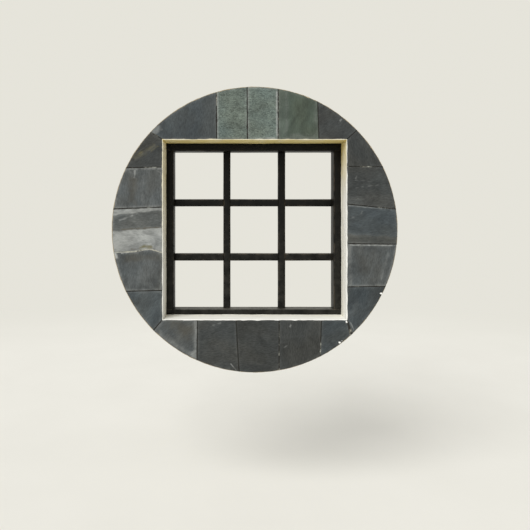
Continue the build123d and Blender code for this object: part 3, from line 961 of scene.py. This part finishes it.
def shape_timber(node):
    """One piece of the frame or the lattice, planed, eased and worn along its arrises."""
    bm = merged_copy(node)
    arrises = [edge for edge in bm.edges if is_long_arris(edge)]
    rounded = set(round_off(bm, arrises, ARRIS))
    worn = bm.verts.layers.float.new("worn")
    for vert in {vert for face in rounded for vert in face.verts}:
        if all(face in rounded for face in vert.link_faces):
            vert[worn] = 1.0
    low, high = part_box(node)
    along = max(range(3), key=lambda axis: high[axis] - low[axis])
    slice_along(bm, along, TIMBER_PITCH)
    bm.normal_update()
    grain = bm.verts.layers.float_vector.new("grain")
    normals = [vert.normal.copy() for vert in bm.verts]
    for vert, normal in zip(bm.verts, normals):
        start = vert.co.copy()
        lengthwise = Vector((start[along], start.y, start[2 - along]))
        # the shift keeps two pieces from sharing a pattern
        vert[grain] = lengthwise + Vector((len(node), 0, sum(low)))
        vert.co += normal * PLANE_WAVE * wave(lengthwise, *PLANE_CELL)
    shade(bm, 35)
    return bm


# %% [markdown]
# The paint is black and a little glossy. The grain telegraphs through it as fine lines along each piece,
# brush marks lie over it, and dust settles on faces that look up. The paint is faded in the lower half and
# darker towards the head: partly faded paint, partly painted shade under the soffit. The worn arrises show
# brown wood, in patches.

# %% Paint finish
BLACK_PAINT = (0.0032, 0.0030, 0.0022, 1.0)
FADED_PAINT = (0.0230, 0.0220, 0.0185, 1.0)
FADED_BELOW = -0.42
PAINTED_SHADE_ABOVE = 0.30
BARE_WOOD = (0.105, 0.078, 0.050, 1.0)
DUST = (0.150, 0.142, 0.120, 1.0)


def paint_finish():
    """Black paint over wood: faded low down, with painted shade towards the head, dusty where it looks up,
    worn through on the arrises.
    """
    finish, tree, shader = new_finish("black_paint", 0.42, Specular_IOR_Level=0.13)
    grain = painted_on(tree, "grain", "Vector")
    space = object_space(tree)
    fibres = cloud(tree, grain, (0.12, 0.0035, 0.0018), 3.0, 0.6)
    brush = cloud(tree, grain, (0.25, 0.012, 0.004), 2.0, 0.5)
    patches = cloud(tree, space, 0.05, 4.0, 0.65)
    specks = cloud(tree, grain, (0.006, 0.003, 0.003), 2.0, 0.6)
    height = add(tree, "SeparateXYZ", {"Vector": space}).outputs["Z"]
    # lighter low down and darker towards the head: partly faded paint, partly painted shade under the
    # soffit
    fade_and_painted_shade = ramp(tree, height, FADED_BELOW, PAINTED_SHADE_ABOVE, 1.0, 0.08)
    faded = product(tree, ramp(tree, patches, 0.3, 0.7), fade_and_painted_shade)
    colour = mix(tree, faded, BLACK_PAINT, FADED_PAINT)
    for lines, low, high, strength in ((specks, 0.52, 0.75, 0.5), (fibres, 0.55, 0.8, 0.35)):
        faded = product(tree, ramp(tree, lines, low, high), fade_and_painted_shade, strength)
        colour = mix(tree, faded, colour, FADED_PAINT)
    normal = add(tree, "NewGeometry").outputs["Normal"]
    looks_up = add(tree, "SeparateXYZ", {"Vector": normal}).outputs["Z"]
    settled = ramp(tree, patches, 0.25, 0.7, 0.12, 0.5)
    dusty = product(tree, ramp(tree, looks_up, 0.5, 0.95), settled)
    colour = mix(tree, dusty, colour, DUST)
    worn = product(tree, painted_on(tree, "worn"), ramp(tree, patches, 0.45, 0.62))
    colour = mix(tree, worn, colour, BARE_WOOD)
    tree.links.new(colour, shader.inputs["Base Color"])
    tree.links.new(ramp(tree, brush, 0.2, 0.8, 0.36, 0.58), shader.inputs["Roughness"])
    bump(tree, shader, (brush, 0.20 * MM), (fibres, 0.12 * MM))
    return finish


black_paint = paint_finish()
for node in TIMBER:
    make_piece(node + "_painted", shape_timber(node), black_paint, node)

# %% [markdown]
# Four pegs hold the frame's corners, and four pellets close the holes over the screws. Their ends stand
# a hair proud, because end grain shrinks less than the wood around it, and the paint rounds them off.

# %% Pegs and pellets
END_ROUNDING = 0.8 * MM
PEG_PROUD = 0.7 * MM


def shape_plugs(node, seen_axis):
    """Round plugs whose seen ends are eased and stand proud: along Y for pegs, along X for pellets."""
    bm = merged_copy(node)
    ends = [face for face in bm.faces if abs(face.normal[seen_axis]) > 0.99]
    rims = dict.fromkeys(edge for face in ends for edge in face.edges)
    for face in ends:
        middle = face.calc_center_median()
        seen = face.normal.y < 0 if seen_axis == 1 else face.normal.x * middle.x < 0
        if seen:
            bmesh.ops.translate(bm, vec=face.normal * PEG_PROUD, verts=face.verts)
    round_off(bm, list(rims), END_ROUNDING)
    shade(bm, 60)
    return bm


make_piece("frame_pegs_painted", shape_plugs("frame_pegs", 1), black_paint, "frame_pegs")
make_piece("fixing_pellets_painted", shape_plugs("fixing_pellets", 0), black_paint, "fixing_pellets")

# %% [markdown]
# ## Frame screws
#
# Each screw's thread is a tooth spun round the shank while it moves along it: the spin operator does
# both at once when it is given a step along the axis. The places come from the record's mounts.

# %% Turn the screws
SCREW_HEAD = 5.75 * MM
SCREW_SHANK = 3 * MM
THREAD_RADIUS = 3.75 * MM
THREAD_CORE = 2.6 * MM
THREAD_PITCH = 3.2 * MM
THREAD_STEPS = 20
TOOTH_FOOT = 0.45 * THREAD_PITCH
TOOTH_BASE = 0.9 * THREAD_CORE
SOCKET = 4 * MM
SOCKET_DEPTH = 3 * MM
PELLET_DEPTH = 8 * MM
ZINC_GREY = (0.50, 0.50, 0.47, 1.0)
ZINC_BRIGHT = (0.68, 0.68, 0.66, 1.0)
ZINC_DULL = (0.36, 0.34, 0.28, 1.0)


def screw_places():
    """For each screw: where its thread starts, and its side of the window."""
    places = []
    for mount in frame["record"]["mounts"]:
        if mount["kind"] == "bolt_pattern":
            middle, spacing = Vector(mount["pos_m"]), mount["dims"]["spacing_y_mm"] * MM
            for up in (-spacing / 2, spacing / 2):
                places.append((middle + Vector((0, 0, up)), mount["axis"][0]))
    return places


def turned(bm, outline):
    """A round body from an outline of points along X, each with its radius."""
    verts = [bm.verts.new((along, 0, radius)) for along, radius in outline]
    edges = [bm.edges.new(pair) for pair in zip(verts, verts[1:])]
    bmesh.ops.spin(bm, geom=verts + edges, cent=(0, 0, 0), axis=(1, 0, 0), dvec=(0, 0, 0),
                   angle=math.tau, steps=THREAD_STEPS, use_merge=True, use_duplicate=False)


def thread(bm, start, end):
    """A tooth spun round the core, from start to end along X."""
    turns = (end - start) / THREAD_PITCH - 1
    tooth = ((start, TOOTH_BASE), (start + TOOTH_FOOT, TOOTH_BASE), (start + TOOTH_FOOT / 2, THREAD_RADIUS))
    face = bm.faces.new([bm.verts.new((along, 0, radius)) for along, radius in tooth])
    steps = round(THREAD_STEPS * turns)
    bmesh.ops.spin(bm, geom=[face, *face.edges, *face.verts], cent=(0, 0, 0), axis=(1, 0, 0),
                   dvec=(THREAD_PITCH / THREAD_STEPS, 0, 0), angle=math.tau * turns, steps=steps,
                   use_merge=False, use_duplicate=False)


def shape_screw(length, head_at):
    """One screw along X: its thread runs from 0 to its length, its head faces -X."""
    bm = bmesh.new()
    socket_end = head_at + SOCKET_DEPTH
    neck = head_at + (SCREW_HEAD - SCREW_SHANK)
    turned(bm, [(socket_end, 0), (socket_end, SOCKET / 2), (head_at, SOCKET / 2),
                (head_at, SCREW_HEAD), (neck, SCREW_SHANK), (0, SCREW_SHANK),
                (MM, THREAD_CORE), (length - 2 * MM, THREAD_CORE), (length, MM), (length, 0)])
    thread(bm, 0, length - MM)
    bmesh.ops.remove_doubles(bm, verts=bm.verts, dist=MERGE_DISTANCE)
    bmesh.ops.recalc_face_normals(bm, faces=bm.faces)
    return bm


def shape_screws():
    """All four screws in one mesh."""
    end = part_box("fixing_screws")[1].x
    stile_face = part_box("frame_stile_right")[0].x
    half_turn = Matrix.Rotation(math.pi, 3, "Z")
    bm = bmesh.new()
    for start, side in screw_places():
        one = shape_screw(end - abs(start.x), stile_face + PELLET_DEPTH - abs(start.x))
        if side < 0:
            bmesh.ops.rotate(one, cent=(0, 0, 0), matrix=half_turn, verts=one.verts)
        bmesh.ops.translate(one, vec=start, verts=one.verts)
        mesh = mesh_from(one, "screw")
        bm.from_mesh(mesh)
        bpy.data.meshes.remove(mesh)
    shade(bm, 35)
    return bm


def zinc_finish():
    """Zinc plate with its spangle, dull in places."""
    finish, tree, shader = new_finish("zinc_plate", 0.38, Metallic=1.0)
    space = object_space(tree)
    spangle = cloud(tree, space, 0.004, 3.0, 0.6)
    dull = cloud(tree, space, 0.02, 3.0, 0.6)
    colour = mix(tree, ramp(tree, spangle, 0.3, 0.7), ZINC_GREY, ZINC_BRIGHT)
    colour = mix(tree, ramp(tree, dull, 0.55, 0.75, 0.0, 0.6), colour, ZINC_DULL)
    tree.links.new(colour, shader.inputs["Base Color"])
    tree.links.new(ramp(tree, dull, 0.3, 0.7, 0.32, 0.55), shader.inputs["Roughness"])
    bump(tree, shader, (spangle, 0.03 * MM))
    return finish


make_piece("frame_screws_threaded", shape_screws(), zinc_finish(), "fixing_screws")

# %% [markdown]
# ## Splashes of plaster
#
# A few splashes of plaster fell on the slates: flattened blobs, pressed out of round by noise, each
# seated in the surface that it fell on.

# %% Throw the splashes
# X, Z and radius of each, in millimetres
SPLASHES = ((629, -318, 5), (423, -562, 4.5), (457, -459, 5), (434, -554, 2))
SPLASH_FLATNESS = 0.3
SPLASH_SEAT = 0.4 * MM
SPLASH_CELL = 0.005


def shape_splashes():
    """All the splashes in one mesh."""
    bm = bmesh.new()
    for x, z, size in SPLASHES:
        made = bmesh.ops.create_icosphere(bm, subdivisions=4, radius=size * MM)["verts"]
        place = Vector((x * MM, SLATE_FRONT + SPLASH_SEAT, z * MM))
        for vert in made:
            vert.co *= 1 + 0.55 * wave(vert.co + place, SPLASH_CELL)
            vert.co.y *= SPLASH_FLATNESS
        bmesh.ops.translate(bm, vec=place, verts=made)
    shade(bm, 60)
    return bm


splashes = make_piece("plaster_splashes", shape_splashes(), bpy.data.materials["lime_plaster"])
